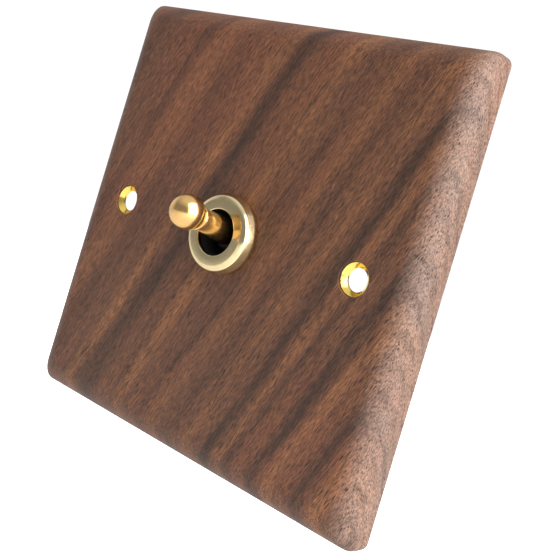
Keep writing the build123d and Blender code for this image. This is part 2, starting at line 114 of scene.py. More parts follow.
# ---------------------------------------------------------------- node helpers
class Graph:
    """A thin wrapper that adds and joins shader nodes."""

    def __init__(self, tree: NodeTree) -> None:
        """Keeps the tree to add nodes to.

        Args:
            tree: The node tree of a material, a world or a group.
        """
        self.tree = tree

    def node(self, kind: str, **settings: object) -> Node:
        """Adds one node.

        Args:
            kind: The node's type name without the ShaderNode prefix, or the full name of a group node.
            **settings: Properties to set on the node.

        Returns:
            The new node.
        """
        made = self.tree.nodes.new(kind if kind.startswith("Node") else f"ShaderNode{kind}")
        for name, value in settings.items():
            setattr(made, name, value)
        return made

    def join(self, source: object, target: NodeSocket) -> None:
        """Links a socket, or sets a plain value on the target.

        Args:
            source: An output socket, or a number, colour or vector.
            target: The input socket.
        """
        if isinstance(source, NodeSocket):
            self.tree.links.new(source, target)
        else:
            target.default_value = source

    def math(self, operation: str, *values: object) -> NodeSocket:
        """Adds a Math node.

        Args:
            operation: The node's operation, such as MULTIPLY.
            *values: Sockets or numbers for its inputs in order.

        Returns:
            The node's output.
        """
        made = self.node("Math", operation=operation)
        for value, target in zip(values, made.inputs):
            self.join(value, target)
        return made.outputs[0]

    def dot(self, vector: NodeSocket, direction: Sequence[float]) -> NodeSocket:
        """Measures a vector along a direction.

        Args:
            vector: The vector socket.
            direction: The direction to measure along.

        Returns:
            The length along the direction.
        """
        made = self.node("VectorMath", operation="DOT_PRODUCT")
        self.join(vector, made.inputs[0])
        self.join(tuple(direction), made.inputs[1])
        return made.outputs["Value"]

    def combine(self, x: object, y: object, z: object) -> NodeSocket:
        """Joins three values into a vector.

        Args:
            x: First part.
            y: Second part.
            z: Third part.

        Returns:
            The vector output.
        """
        made = self.node("CombineXYZ")
        for value, target in zip((x, y, z), made.inputs):
            self.join(value, target)
        return made.outputs[0]

    def noise(
        self, vector: object, scale: float, detail: float = 2.0, rough: float = 0.5
    ) -> NodeSocket:
        """Adds a noise texture.

        Args:
            vector: Where to read it.
            scale: Features per unit of the vector.
            detail: Octaves.
            rough: Strength of the finer octaves.

        Returns:
            The noise value, about 0.5 on average.
        """
        made = self.node("TexNoise")
        self.join(vector, made.inputs["Vector"])
        made.inputs["Scale"].default_value = scale
        made.inputs["Detail"].default_value = detail
        made.inputs["Roughness"].default_value = rough
        return made.outputs[0]

    def remap(
        self, value: object, low: float, high: float, to_low: float = 0.0, to_high: float = 1.0
    ) -> NodeSocket:
        """Maps a range on to another with a smooth step.

        Args:
            value: The value to map.
            low: Start of the range.
            high: End of the range.
            to_low: Result at the start.
            to_high: Result at the end.

        Returns:
            The mapped value.
        """
        made = self.node("MapRange", interpolation_type="SMOOTHSTEP")
        for given, target in zip((value, low, high, to_low, to_high), made.inputs):
            self.join(given, target)
        return made.outputs[0]

    def mix(self, amount: object, first: object, second: object, blend: str = "MIX") -> NodeSocket:
        """Mixes two colours.

        Args:
            amount: How much of the second.
            first: The first colour.
            second: The second colour.
            blend: The blend type.

        Returns:
            The mixed colour.
        """
        made = self.node("Mix", data_type="RGBA", blend_type=blend)
        self.join(amount, made.inputs["Factor"])
        for given, name in ((first, "A"), (second, "B")):
            target = next(s for s in made.inputs if s.name == name and s.type == "RGBA")
            self.join((*given, 1.0) if isinstance(given, tuple) else given, target)
        return next(s for s in made.outputs if s.type == "RGBA")

    def millimetres(self) -> NodeSocket:
        """Reads the place in the object.

        Returns:
            Object coordinates in millimetres.
        """
        coordinates = self.node("TexCoord")
        scaled = self.node("VectorMath", operation="SCALE")
        self.join(coordinates.outputs["Object"], scaled.inputs[0])
        scaled.inputs["Scale"].default_value = 1 / MM
        return scaled.outputs[0]

    def bump(self, height: object, distance: float) -> NodeSocket:
        """Adds a Bump node.

        Args:
            height: The height value.
            distance: Height of a value of 1, in metres.

        Returns:
            The bumped normal.
        """
        made = self.node("Bump")
        self.join(height, made.inputs["Height"])
        made.inputs["Distance"].default_value = distance
        made.inputs["Strength"].default_value = 1.0
        return made.outputs[0]


def new_material(name: str) -> tuple[Material, Graph, Node]:
    """Makes an empty material with one Principled shader.

    Args:
        name: The material's name.

    Returns:
        The material, its graph and its shader node.
    """
    material = bpy.data.materials.new(name)
    material.use_nodes = True
    material.node_tree.nodes.clear()
    graph = Graph(material.node_tree)
    shader = graph.node("BsdfPrincipled")
    output = graph.node("OutputMaterial")
    graph.join(shader.outputs[0], output.inputs["Surface"])
    return material, graph, shader


def new_group(
    name: str, inputs: dict[str, float], outputs: Sequence[str]
) -> tuple[NodeTree, Graph]:
    """Makes an empty node group with number inputs and outputs.

    Args:
        name: The group's name.
        inputs: Input names and their default values.
        outputs: Output names.

    Returns:
        The group and its graph. Its first two nodes are the group's input and output.
    """
    tree = bpy.data.node_groups.new(name, "ShaderNodeTree")
    for label, value in inputs.items():
        made = tree.interface.new_socket(name=label, in_out="INPUT", socket_type=NUMBER_SOCKET)
        made.default_value = value
    for label in outputs:
        tree.interface.new_socket(name=label, in_out="OUTPUT", socket_type=NUMBER_SOCKET)
    graph = Graph(tree)
    graph.node("NodeGroupInput")
    graph.node("NodeGroupOutput")
    return tree, graph


def place_group(graph: Graph, tree: NodeTree, values: dict[str, float]) -> Node:
    """Places a node group in a material.

    Args:
        graph: The material's graph.
        tree: The group.
        values: Input values by name.

    Returns:
        The group node.
    """
    made = graph.node("Group", node_tree=tree)
    for name, value in values.items():
        made.inputs[name].default_value = value
    return made


# ---------------------------------------------------------------- finishes
class Step(NamedTuple):
    """A smooth step from one level to another.

    Attributes:
        low: Where it starts.
        high: Where it ends.
        to_low: Its level at the start.
        to_high: Its level at the end.
    """

    low: float
    high: float
    to_low: float = 0.0
    to_high: float = 1.0


@dataclass(frozen=True)
class Handling:
    """Marks of handled metal and plastic: soft smudges, fine scratches and a grainy height."""

    smudge_scale: float = 0.35
    smudge_step: Step = Step(0.38, 0.68)
    scratch_scale: float = 1.0
    scratch_step: Step = Step(0.62, 0.74)
    scratch_axes: tuple[Triple, ...] = ((9.0, 2.0, 1.0), (0.3, 0.2, 0.5), (1.0, 8.0, 3.0))
    grain_scale: float = 6.0

    def build(self) -> NodeTree:
        """Builds the node group.

        Returns:
            The group, with Smudge, Scratch and Grain outputs from 0 to 1.
        """
        tree, graph = new_group(
            "handling",
            {
                "Smudge Scale": self.smudge_scale,
                "Scratch Scale": self.scratch_scale,
                "Grain Scale": self.grain_scale,
            },
            ("Smudge", "Scratch", "Grain"),
        )
        given, result = tree.nodes[0], tree.nodes[1]
        place = graph.millimetres()
        smudge = graph.noise(place, 1.0, detail=3.0, rough=0.6)
        graph.join(given.outputs["Smudge Scale"], smudge.node.inputs["Scale"])
        graph.join(graph.remap(smudge, *self.smudge_step), result.inputs["Smudge"])
        along = graph.combine(*(graph.dot(place, axis) for axis in self.scratch_axes))
        scratch = graph.noise(along, 1.0, detail=2.0, rough=0.7)
        graph.join(given.outputs["Scratch Scale"], scratch.node.inputs["Scale"])
        graph.join(graph.remap(scratch, *self.scratch_step), result.inputs["Scratch"])
        grain = graph.noise(place, 1.0, detail=2.0, rough=0.6)
        graph.join(given.outputs["Grain Scale"], grain.node.inputs["Scale"])
        graph.join(grain, result.inputs["Grain"])
        return tree


@dataclass(frozen=True)
class Streak:
    """One coloured band of the wood's figure.

    Attributes:
        place: Where it crosses the board, in mm square to the grain on the front face.
        half_width: Half its width in mm.
        depth: How strong it is, from 0 to 1.
    """

    place: float
    half_width: float
    depth: float


@dataclass(frozen=True)
class GrainNoise:
    """A noise stretched along the grain.

    Attributes:
        stretch: Share of the way along the grain that counts. The smaller, the longer its marks.
        scale: Marks per mm across the grain.
        detail: Octaves.
        rough: Strength of the finer octaves.
    """

    stretch: float
    scale: float
    detail: float = 2.0
    rough: float = 0.5


@dataclass(frozen=True)
class Board:
    """Places in the wood, as sockets in mm.

    Attributes:
        graph: The material's graph.
        at: The place in the object.
        run: The way along the grain.
        layer: The way across it, over the front face.
        side: The third way.
    """

    graph: Graph
    at: NodeSocket
    run: NodeSocket
    layer: NodeSocket
    side: NodeSocket

    def stretched(self, stretch: float) -> NodeSocket:
        """A place whose first part is shortened along the grain.

        Args:
            stretch: Share of the way along the grain.

        Returns:
            The place.
        """
        return self.graph.combine(self.graph.math("MULTIPLY", self.run, stretch), self.layer, self.side)

    def noise(self, kind: GrainNoise) -> NodeSocket:
        """Adds a stretched noise.

        Args:
            kind: The noise.

        Returns:
            Its value.
        """
        return self.graph.noise(self.stretched(kind.stretch), kind.scale, kind.detail, kind.rough)


@dataclass(frozen=True)
class Walnut:
    """Oiled walnut with a leaning grain, dark and warm streaks and open pores. Lengths are in mm."""

    slot: Slot = Slot.WALNUT
    across: Triple = (0.92, -1.05, -0.39)
    along: Triple = (0.39, 0.0, 0.92)
    front: float = -8.0
    reach: float = 62.0
    heartwood: Colour = (0.112, 0.048, 0.026)
    red_wood: Colour = (0.140, 0.052, 0.027)
    dark_wood: Colour = (0.030, 0.016, 0.011)
    warm_wood: Colour = (0.230, 0.096, 0.040)
    pore_wood: Colour = (0.016, 0.009, 0.007)
    # Pale colour for the left and right round-overs: painted sheen.
    painted_sheen_wood: Colour = (0.225, 0.148, 0.116)
    sway: GrainNoise = GrainNoise(0.35, 0.045)
    sway_width: float = 6.0
    fine_sway: GrainNoise = GrainNoise(0.16, 0.55)
    fine_sway_width: float = 2.4
    lines: GrainNoise = GrainNoise(0.035, 0.9, 5.0, 0.7)
    lines_side: float = 0.6
    dark_lines: Step = Step(0.50, 0.74, 0.0, 0.75)
    warm_lines: Step = Step(0.46, 0.26, 0.0, 0.5)
    broad: GrainNoise = GrainNoise(0.2, 0.06)
    broad_step: Step = Step(0.35, 0.65)
    patches: GrainNoise = GrainNoise(0.35, 0.22, 3.0)
    dark_patches: Step = Step(0.22, 0.55, 0.4, 0.92)
    warm_patches: Step = Step(0.25, 0.60, 0.25, 1.0)
    flecks: GrainNoise = GrainNoise(0.24, 3.0, 2.0, 0.6)
    flecks_side: float = 40.0
    fleck_step: Step = Step(0.55, 0.78, 0.0, 0.7)
    fibres: GrainNoise = GrainNoise(0.16, 4.2, 3.0, 0.75)
    fibre_shade: Step = Step(0.26, 0.74, 0.28, 1.72)
    pore_stretch: float = 0.14
    pore_scale: float = 2.1
    pore_edge: Step = Step(0.14, 0.30, 1.0, 0.0)
    pore_bands: Step = Step(0.40, 0.62, 0.2, 1.0)
    pore_band_scale: float = 0.5
    pore_colour: float = 0.8
    # Across the round-overs this brings in the painted sheen and makes the growth rings stronger.
    sheen_and_ring_step: Step = Step(37.6, 41.8, 0.0, 0.62)
    ring_pitch: float = 2.3
    ring_line: Step = Step(0.1, 0.95)
    ring_base: float = 0.18
    ring_patches: Step = Step(0.35, 0.62, 0.08, 0.5)
    rough: float = 0.42
    pore_rough: float = 0.22
    fibre_rough: float = 0.16
    fibre_height: float = 0.8
    relief: float = 0.07 * MM
    specular: float = 0.34
    streak_fade: float = 1.6
    dark_streaks: tuple[Streak, ...] = (
        Streak(-47.0, 3.0, 0.55),
        Streak(-33.0, 1.2, 0.45),
        Streak(-22.5, 2.2, 0.35),
        Streak(-9.8, 2.3, 0.85),
        Streak(6.5, 1.5, 0.35),
        Streak(14.5, 1.1, 0.45),
        Streak(23.3, 1.3, 0.90),
        Streak(28.5, 0.9, 0.50),
        Streak(34.0, 1.4, 0.95),
        Streak(43.8, 1.4, 0.80),
    )
    warm_streaks: tuple[Streak, ...] = (
        Streak(-28.0, 3.0, 0.35),
        Streak(-14.4, 1.6, 0.75),
        Streak(-0.5, 1.6, 0.75),
        Streak(10.5, 1.4, 0.35),
        Streak(19.0, 1.2, 0.45),
        Streak(26.0, 0.9, 0.60),
        Streak(37.5, 1.4, 0.75),
        Streak(48.0, 1.5, 0.90),
    )

    def board(self, graph: Graph) -> Board:
        """Sets up the wood's own directions.

        Args:
            graph: The material's graph.

        Returns:
            Places along and across the grain.
        """
        across, along = Vector(self.across).normalized(), Vector(self.along).normalized()
        at = graph.millimetres()
        layer = graph.math("ADD", graph.dot(at, self.across), self.across[1] * -self.front)
        return Board(graph, at, graph.dot(at, along), layer, graph.dot(at, across.cross(along)))

    def streak_ramp(
        self, graph: Graph, place: NodeSocket, streaks: Iterable[Streak]
    ) -> NodeSocket:
        """Makes a ramp across the board that rises at each streak.

        Args:
            graph: The material's graph.
            place: Place across the board, in mm.
            streaks: The streaks in order.

        Returns:
            Strength from 0 to 1.
        """
        ramp = graph.node("ValToRGB")
        elements = ramp.color_ramp.elements
        ramp.color_ramp.interpolation = "EASE"
        elements[0].color = elements[1].color = (0.0, 0.0, 0.0, 1.0)
        for streak in streaks:
            for offset, share in ((-self.streak_fade, 0.0), (0.0, 1.0), (self.streak_fade, 0.0)):
                at = (streak.place + offset * streak.half_width) / (2 * self.reach) + 0.5
                level = streak.depth * share
                elements.new(at).color = (level, level, level, 1.0)
        shifted = graph.math("MULTIPLY_ADD", place, 1 / (2 * self.reach), 0.5)
        graph.join(shifted, ramp.inputs[0])
        return ramp.outputs[0]

    def bent_layer(self, board: Board) -> NodeSocket:
        """Place across the grain, swaying along it.

        Args:
            board: Places in the wood.

        Returns:
            The place in mm.
        """
        graph = board.graph
        waves = [
            graph.math("MULTIPLY_ADD", board.noise(noise), width, -width / 2)
            for noise, width in ((self.sway, self.sway_width), (self.fine_sway, self.fine_sway_width))
        ]
        return graph.math("ADD", board.layer, graph.math("ADD", *waves))

    def pores(self, board: Board, lines_at: NodeSocket) -> NodeSocket:
        """Open pores, thicker in some bands than in others.

        Args:
            board: Places in the wood.
            lines_at: Where the grain lines are read.

        Returns:
            A mask from 0 to 1.
        """
        graph = board.graph
        cells = graph.node("TexVoronoi", feature="F1")
        graph.join(board.stretched(self.pore_stretch), cells.inputs["Vector"])
        cells.inputs["Scale"].default_value = self.pore_scale
        pore = graph.remap(cells.outputs["Distance"], *self.pore_edge)
        bands = graph.noise(lines_at, self.pore_band_scale, detail=3.0)
        return graph.math("MULTIPLY", pore, graph.remap(bands, *self.pore_bands))

    def ground(
        self, board: Board, bent: NodeSocket, lines: NodeSocket, patch: NodeSocket
    ) -> NodeSocket:
        """Heartwood with its flecks, grain lines and streaks.

        Args:
            board: Places in the wood.
            bent: The swaying place across the grain.
            lines: The grain lines.
            patch: Patches where the figure is stronger.

        Returns:
            The colour.
        """
        graph = board.graph
        colour = graph.mix(
            graph.remap(board.noise(self.broad), *self.broad_step), self.heartwood, self.red_wood
        )
        shifted = replace(board, side=graph.math("ADD", board.side, self.flecks_side))
        fleck = graph.remap(shifted.noise(self.flecks), *self.fleck_step)
        colour = graph.mix(fleck, colour, self.warm_wood)
        warm = self.streak_ramp(graph, bent, self.warm_streaks)
        warm = graph.math("MULTIPLY", warm, graph.remap(patch, *self.warm_patches))
        colour = graph.mix(warm, colour, self.warm_wood)
        colour = graph.mix(graph.remap(lines, *self.dark_lines), colour, self.dark_wood)
        colour = graph.mix(graph.remap(lines, *self.warm_lines), colour, self.warm_wood)
        dark = self.streak_ramp(graph, bent, self.dark_streaks)
        dark = graph.math("MULTIPLY", dark, graph.remap(patch, *self.dark_patches))
        return graph.mix(dark, colour, self.dark_wood)

    def rings_and_painted_sheen(
        self, board: Board, bent: NodeSocket, patch: NodeSocket, colour: NodeSocket
    ) -> NodeSocket:
        """Growth rings towards the left and right edges, and a painted sheen that makes the round-overs there
        paler.

        Args:
            board: Places in the wood.
            bent: The swaying place across the grain.
            patch: Patches where the figure is stronger.
            colour: The colour so far.

        Returns:
            The colour.
        """
        graph = board.graph
        from_middle = graph.math("ABSOLUTE", graph.dot(board.at, (1, 0, 0)))
        sheen_and_rings = graph.remap(from_middle, *self.sheen_and_ring_step)
        # Painted sheen: the round-overs are mixed towards a pale colour.
        colour = graph.mix(sheen_and_rings, colour, self.painted_sheen_wood)
        ring = graph.math("SINE", graph.math("MULTIPLY", bent, 2 * math.pi / self.ring_pitch))
        strength = graph.math("ADD", sheen_and_rings, self.ring_base)
        ring = graph.math("MULTIPLY", graph.remap(ring, *self.ring_line), strength)
        ring = graph.math("MULTIPLY", ring, graph.remap(patch, *self.ring_patches))
        return graph.mix(ring, colour, self.dark_wood)

    def build(self) -> Material:
        """Builds the material.

        Returns:
            The walnut material.
        """
        material, graph, shader = new_material("walnut_oiled")
        board = self.board(graph)
        bent = self.bent_layer(board)
        run = graph.math("MULTIPLY", board.run, self.lines.stretch)
        lines_at = graph.combine(run, bent, graph.math("MULTIPLY", board.side, self.lines_side))
        lines = graph.noise(lines_at, self.lines.scale, self.lines.detail, self.lines.rough)
        patch = board.noise(self.patches)
        fibres = board.noise(self.fibres)
        pore = self.pores(board, lines_at)
        colour = self.ground(board, bent, lines, patch)
        colour = self.rings_and_painted_sheen(board, bent, patch, colour)
        shade = graph.remap(fibres, *self.fibre_shade)
        colour = graph.mix(1.0, colour, graph.combine(shade, shade, shade), "MULTIPLY")
        colour = graph.mix(graph.math("MULTIPLY", pore, self.pore_colour), colour, self.pore_wood)
        graph.join(colour, shader.inputs["Base Color"])
        rough = graph.math("MULTIPLY_ADD", pore, self.pore_rough, self.rough)
        rough = graph.math("MULTIPLY_ADD", fibres, self.fibre_rough, rough)
        graph.join(rough, shader.inputs["Roughness"])
        height = graph.math("MULTIPLY_ADD", pore, -1.0, graph.math("MULTIPLY", fibres, self.fibre_height))
        graph.join(graph.bump(height, self.relief), shader.inputs["Normal"])
        shader.inputs["Specular IOR Level"].default_value = self.specular
        return material


@dataclass(frozen=True)
class Metal:
    """A metal finish with smudges, fine scratches and a machined grain.

    Attributes:
        slot: The record's slot.
        colour: Clean colour.
        dull: Colour where it is smudged.
        rough: Roughness where clean.
        rough_spread: How much rougher it is where smudged.
        grain: Height of the surface grain in metres.
        grain_scale: Grains per mm.
    """

    slot: Slot
    colour: Colour
    dull: Colour
    rough: float
    rough_spread: float
    grain: float
    grain_scale: float = 6.0

    def build(self, handling: NodeTree) -> Material:
        """Builds the material.

        Args:
            handling: The shared handling group.

        Returns:
            The metal material.
        """
        material, graph, shader = new_material(self.slot.value)
        marks = place_group(graph, handling, {"Grain Scale": self.grain_scale})
        colour = graph.mix(marks.outputs["Smudge"], self.colour, self.dull)
        graph.join(colour, shader.inputs["Base Color"])
        rough = graph.math("MULTIPLY_ADD", marks.outputs["Smudge"], self.rough_spread, self.rough)
        rough = graph.math("MULTIPLY_ADD", marks.outputs["Scratch"], self.rough_spread, rough)
        graph.join(rough, shader.inputs["Roughness"])
        graph.join(graph.bump(marks.outputs["Grain"], self.grain), shader.inputs["Normal"])
        shader.inputs["Metallic"].default_value = 1.0
        return material


@dataclass(frozen=True)
class Moulding:
    """A moulded plastic or fibre finish with a fine texture.

    Attributes:
        slot: The record's slot.
        colour: Main colour.
        worn: Colour where it is dusty or rubbed.
        rough: Roughness.
        grain: Height of the moulded texture in metres.
        grain_scale: Grains per mm.
        smudge_scale: Smudges per mm.
        grain_rough: How much rougher the tops of the grains are.
    """

    slot: Slot
    colour: Colour
    worn: Colour
    rough: float
    grain: float
    grain_scale: float = 5.0
    smudge_scale: float = 0.22
    grain_rough: float = 0.16

    def build(self, handling: NodeTree) -> Material:
        """Builds the material.

        Args:
            handling: The shared handling group.

        Returns:
            The moulded material.
        """
        material, graph, shader = new_material(self.slot.value)
        scales = {"Grain Scale": self.grain_scale, "Smudge Scale": self.smudge_scale}
        marks = place_group(graph, handling, scales)
        colour = graph.mix(marks.outputs["Smudge"], self.colour, self.worn)
        graph.join(colour, shader.inputs["Base Color"])
        rough = graph.math("MULTIPLY_ADD", marks.outputs["Grain"], self.grain_rough, self.rough)
        graph.join(rough, shader.inputs["Roughness"])
        graph.join(graph.bump(marks.outputs["Grain"], self.grain), shader.inputs["Normal"])
        return material


METALS = (
    Metal(
        Slot.POLISHED_BRASS, colour=(0.80, 0.66, 0.38), dull=(0.72, 0.58, 0.33),
        rough=0.11, rough_spread=0.06, grain=0.0012 * MM, grain_scale=3.0
    ),
    Metal(
        Slot.YELLOW_BRASS, colour=(0.93, 0.70, 0.16), dull=(0.86, 0.62, 0.16),
        rough=0.14, rough_spread=0.06, grain=0.0015 * MM, grain_scale=3.0
    ),
    Metal(
        Slot.TURNED_BRASS, colour=(0.72, 0.53, 0.25), dull=(0.55, 0.40, 0.20),
        rough=0.26, rough_spread=0.14, grain=0.005 * MM
    ),
    Metal(
        Slot.STRIP_BRASS, colour=(0.74, 0.56, 0.28), dull=(0.58, 0.42, 0.22),
        rough=0.30, rough_spread=0.12, grain=0.004 * MM
    ),
    Metal(
        Slot.ZINC_STEEL, colour=(0.60, 0.62, 0.64), dull=(0.53, 0.54, 0.55),
        rough=0.30, rough_spread=0.08, grain=0.004 * MM, grain_scale=2.0
    ),
    Metal(
        Slot.SPRING_STEEL, colour=(0.42, 0.42, 0.43), dull=(0.30, 0.30, 0.30),
        rough=0.30, rough_spread=0.12, grain=0.003 * MM
    ),
    Metal(
        Slot.PIN_STEEL, colour=(0.50, 0.50, 0.51), dull=(0.38, 0.38, 0.38),
        rough=0.22, rough_spread=0.10, grain=0.003 * MM
    ),
    Metal(
        Slot.SILVER_TIP, colour=(0.82, 0.81, 0.78), dull=(0.60, 0.58, 0.55),
        rough=0.24, rough_spread=0.12, grain=0.004 * MM
    ),
)
WARM_BRASS = Metal(
    Slot.POLISHED_BRASS, colour=(0.80, 0.52, 0.21), dull=(0.72, 0.45, 0.18),
    rough=0.20, rough_spread=0.05, grain=0.0015 * MM, grain_scale=3.0
)
MOULDINGS = (
    Moulding(
        Slot.BLACK_MOULDING, colour=(0.020, 0.020, 0.022), worn=(0.045, 0.043, 0.042),
        rough=0.34, grain=0.02 * MM
    ),
    Moulding(
        Slot.BLACK_NYLON, colour=(0.006, 0.006, 0.007), worn=(0.012, 0.012, 0.012),
        rough=0.42, grain=0.01 * MM
    ),
    Moulding(
        Slot.FIBRE_CARD, colour=(0.090, 0.060, 0.042), worn=(0.140, 0.100, 0.070),
        rough=0.62, grain=0.03 * MM, grain_scale=3.0
    ),
)


class Finishes:
    """Builds every material once and hands them out by slot."""

    def __init__(self) -> None:
        """Builds all the materials."""
        handling, walnut = Handling().build(), Walnut()
        self.by_slot: dict[Slot, Material] = {walnut.slot: walnut.build()}
        self.warm_brass = WARM_BRASS.build(handling)
        for finish in (*METALS, *MOULDINGS):
            self.by_slot[finish.slot] = finish.build(handling)

    def dress_cad(self) -> None:
        """Gives every CAD node the material of its slot in the record."""
        for name, node in frame["nodes"].items():
            for place in node.material_slots:
                place.material = self.by_slot[NODE_SLOTS[name]]
            if not node.material_slots:
                node.data.materials.append(self.by_slot[NODE_SLOTS[name]])


# ---------------------------------------------------------------- mesh helpers
def add_piece(
    name: str,
    node: str,
    body: str,
    bm: BMesh,
    finishes: Finishes,
    look: Material | None = None,
    sharp: float = 35.0,
) -> Object:
    """Makes a smooth-shaded piece whose hard edges stay sharp, in place of a CAD node.

    Args:
        name: The piece's name.
        node: The CAD node it stands for, whose material slot it takes.
        body: The body it rides on.
        bm: Its mesh, which is freed.
        finishes: The materials.
        look: Its material, where that isn't its slot's own.
        sharp: Angle in degrees past which an edge is sharp.

    Returns:
        The new piece, at the origin.
    """
    bmesh.ops.remove_doubles(bm, verts=bm.verts, dist=MERGE)
    bmesh.ops.recalc_face_normals(bm, faces=bm.faces)
    for face in bm.faces:
        face.smooth = True
    for edge in bm.edges:
        edge.smooth = not edge.is_manifold or edge.calc_face_angle(0.0) < math.radians(sharp)
    mesh = bpy.data.meshes.new(name)
    bm.to_mesh(mesh)
    bm.free()
    slot = NODE_SLOTS[node]
    mesh.materials.append(look or finishes.by_slot[slot])
    piece = bpy.data.objects.new(name, mesh)
    bpy.context.collection.objects.link(piece)
    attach(piece, body)
    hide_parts(node)
    log.info("%s: %d faces, rides on %s, stands for %s", name, len(mesh.polygons), body, node)
    return piece


def cad_copy(node: str) -> BMesh:
    """Copies a CAD node's mesh and merges its loose triangles.

    Args:
        node: The CAD node.

    Returns:
        The copy.
    """
    bm = bmesh.new()
    bm.from_mesh(frame["nodes"][node].data)
    bmesh.ops.remove_doubles(bm, verts=bm.verts, dist=CAD_MERGE)
    return bm


def find_joint(name: str) -> dict[str, Any]:
    """Finds a joint of the frame.

    Args:
        name: The joint's name.

    Returns:
        The joint as the record has it.
    """
    return next(joint for joint in frame["joints"] if joint["name"] == name)


def rounded_corners(corners: Sequence[Corner], segments: int = PROFILE_STEPS) -> list[tuple[float, float]]:
    """Rounds the corners of an open outline.

    Args:
        corners: Points as (radius from the axis, place along the axis, rounding).
        segments: Steps in each rounding.

    Returns:
        The outline's points.
    """
    points: list[tuple[float, float]] = []
    for index, (radius, along, rounding) in enumerate(corners):
        here = Vector((radius, along))
        if rounding <= 0 or index in (0, len(corners) - 1):
            points.append((radius, along))
            continue
        before = (Vector(corners[index - 1][:2]) - here).normalized()
        after = (Vector(corners[index + 1][:2]) - here).normalized()
        half = before.angle(after) / 2
        middle = here + (before + after).normalized() * (rounding / math.sin(half))
        start = here + before * (rounding / math.tan(half)) - middle
        turn = math.pi - 2 * half
        way = math.copysign(1.0, before.x * after.y - before.y * after.x)
        for step in range(segments + 1):
            spoke = middle + Matrix.Rotation(-way * turn * step / segments, 2) @ start
            points.append((spoke.x, spoke.y))
    return points


def quarter_round(radius: float, steps: int) -> Iterator[tuple[float, float]]:
    """Steps round a quarter circle, from a side wall to a flat.

    Args:
        radius: The circle's radius.
        steps: Its number of steps.

    Yields:
        How far in from the wall and how far off the flat each step lies.
    """
    for step in range(steps + 1):
        angle = math.pi / 2 * step / steps
        yield radius * (1 - math.cos(angle)), radius * (1 - math.sin(angle))


def lathe(bm: BMesh, outline: Sequence[tuple[float, float]], steps: int = LATHE_STEPS) -> None:
    """Spins an outline about Z.

    Args:
        bm: The mesh to add to.
        outline: Points as (radius, height).
        steps: Steps round the axis.
    """
    verts = [bm.verts.new((radius, 0.0, height)) for radius, height in outline]
    edges = [bm.edges.new(pair) for pair in zip(verts, verts[1:])]
    bmesh.ops.spin(
        bm,
        geom=[*verts, *edges],
        axis=(0, 0, 1),
        cent=(0, 0, 0),
        angle=2 * math.pi,
        steps=steps,
        use_merge=True,
    )
    bmesh.ops.remove_doubles(bm, verts=bm.verts, dist=MERGE)


def towards_room(x: float, y: float, z: float, tilt: float = 0.0) -> Matrix:
    """A placement whose own Z points out of the wall.

    Args:
        x: Place to the right.
        y: Place into the wall.
        z: Place upwards.
        tilt: Degrees that the axis leans up.

    Returns:
        The placement.
    """
    return Matrix.Translation((x, y, z)) @ Matrix.Rotation(math.radians(90 - tilt), 4, "X")


def outline_loop(bm: BMesh, half: tuple[float, float], radius: float, y: float) -> Loop:
    """Adds the edges of a rounded rectangle that lies across Y.

    Args:
        bm: The mesh to add to.
        half: Half width and half height.
        radius: Corner radius.
        y: Place into the wall.

    Returns:
        The loop's edges.
    """
    turn = Matrix.Translation((0, y, 0)) @ Matrix.Rotation(math.radians(90), 4, "X")
    made = bmesh.ops.create_grid(bm, x_segments=1, y_segments=1, size=1.0, matrix=Matrix())
    corners = made["verts"]
    bmesh.ops.scale(bm, vec=(half[0], half[1], 1), verts=corners)
    rounded = bmesh.ops.bevel(
        bm,
        geom=corners,
        affect="VERTICES",
        offset=radius,
        offset_type="OFFSET",
        segments=CORNER_STEPS,
        profile=0.5,
        material=-1,
    )
    verts = list({v for f in rounded["faces"] for v in f.verts} | set(rounded["verts"]))
    face = max({f for v in verts for f in v.link_faces}, key=lambda f: f.calc_area())
    verts, edges = list(face.verts), list(face.edges)
    bmesh.ops.delete(bm, geom=[face], context="FACES_ONLY")
    bmesh.ops.transform(bm, matrix=turn, verts=verts)
    return edges


def circle_loop(bm: BMesh, radius: float, place: Triple) -> Loop:
    """Adds a circle of edges that lies across Y.

    Args:
        bm: The mesh to add to.
        radius: The circle's radius.
        place: Its centre.

    Returns:
        The circle's edges.
    """
    matrix = towards_room(*place)
    made = bmesh.ops.create_circle(bm, segments=LATHE_STEPS, radius=radius, matrix=matrix)
    return list({edge for vert in made["verts"] for edge in vert.link_edges})


def bridge(bm: BMesh, loops: Sequence[Loop]) -> None:
    """Joins each loop to the next with faces.

    Args:
        bm: The mesh.
        loops: Loops of edges in order.
    """
    for first, second in zip(loops, loops[1:]):
        bmesh.ops.bridge_loops(bm, edges=[*first, *second])


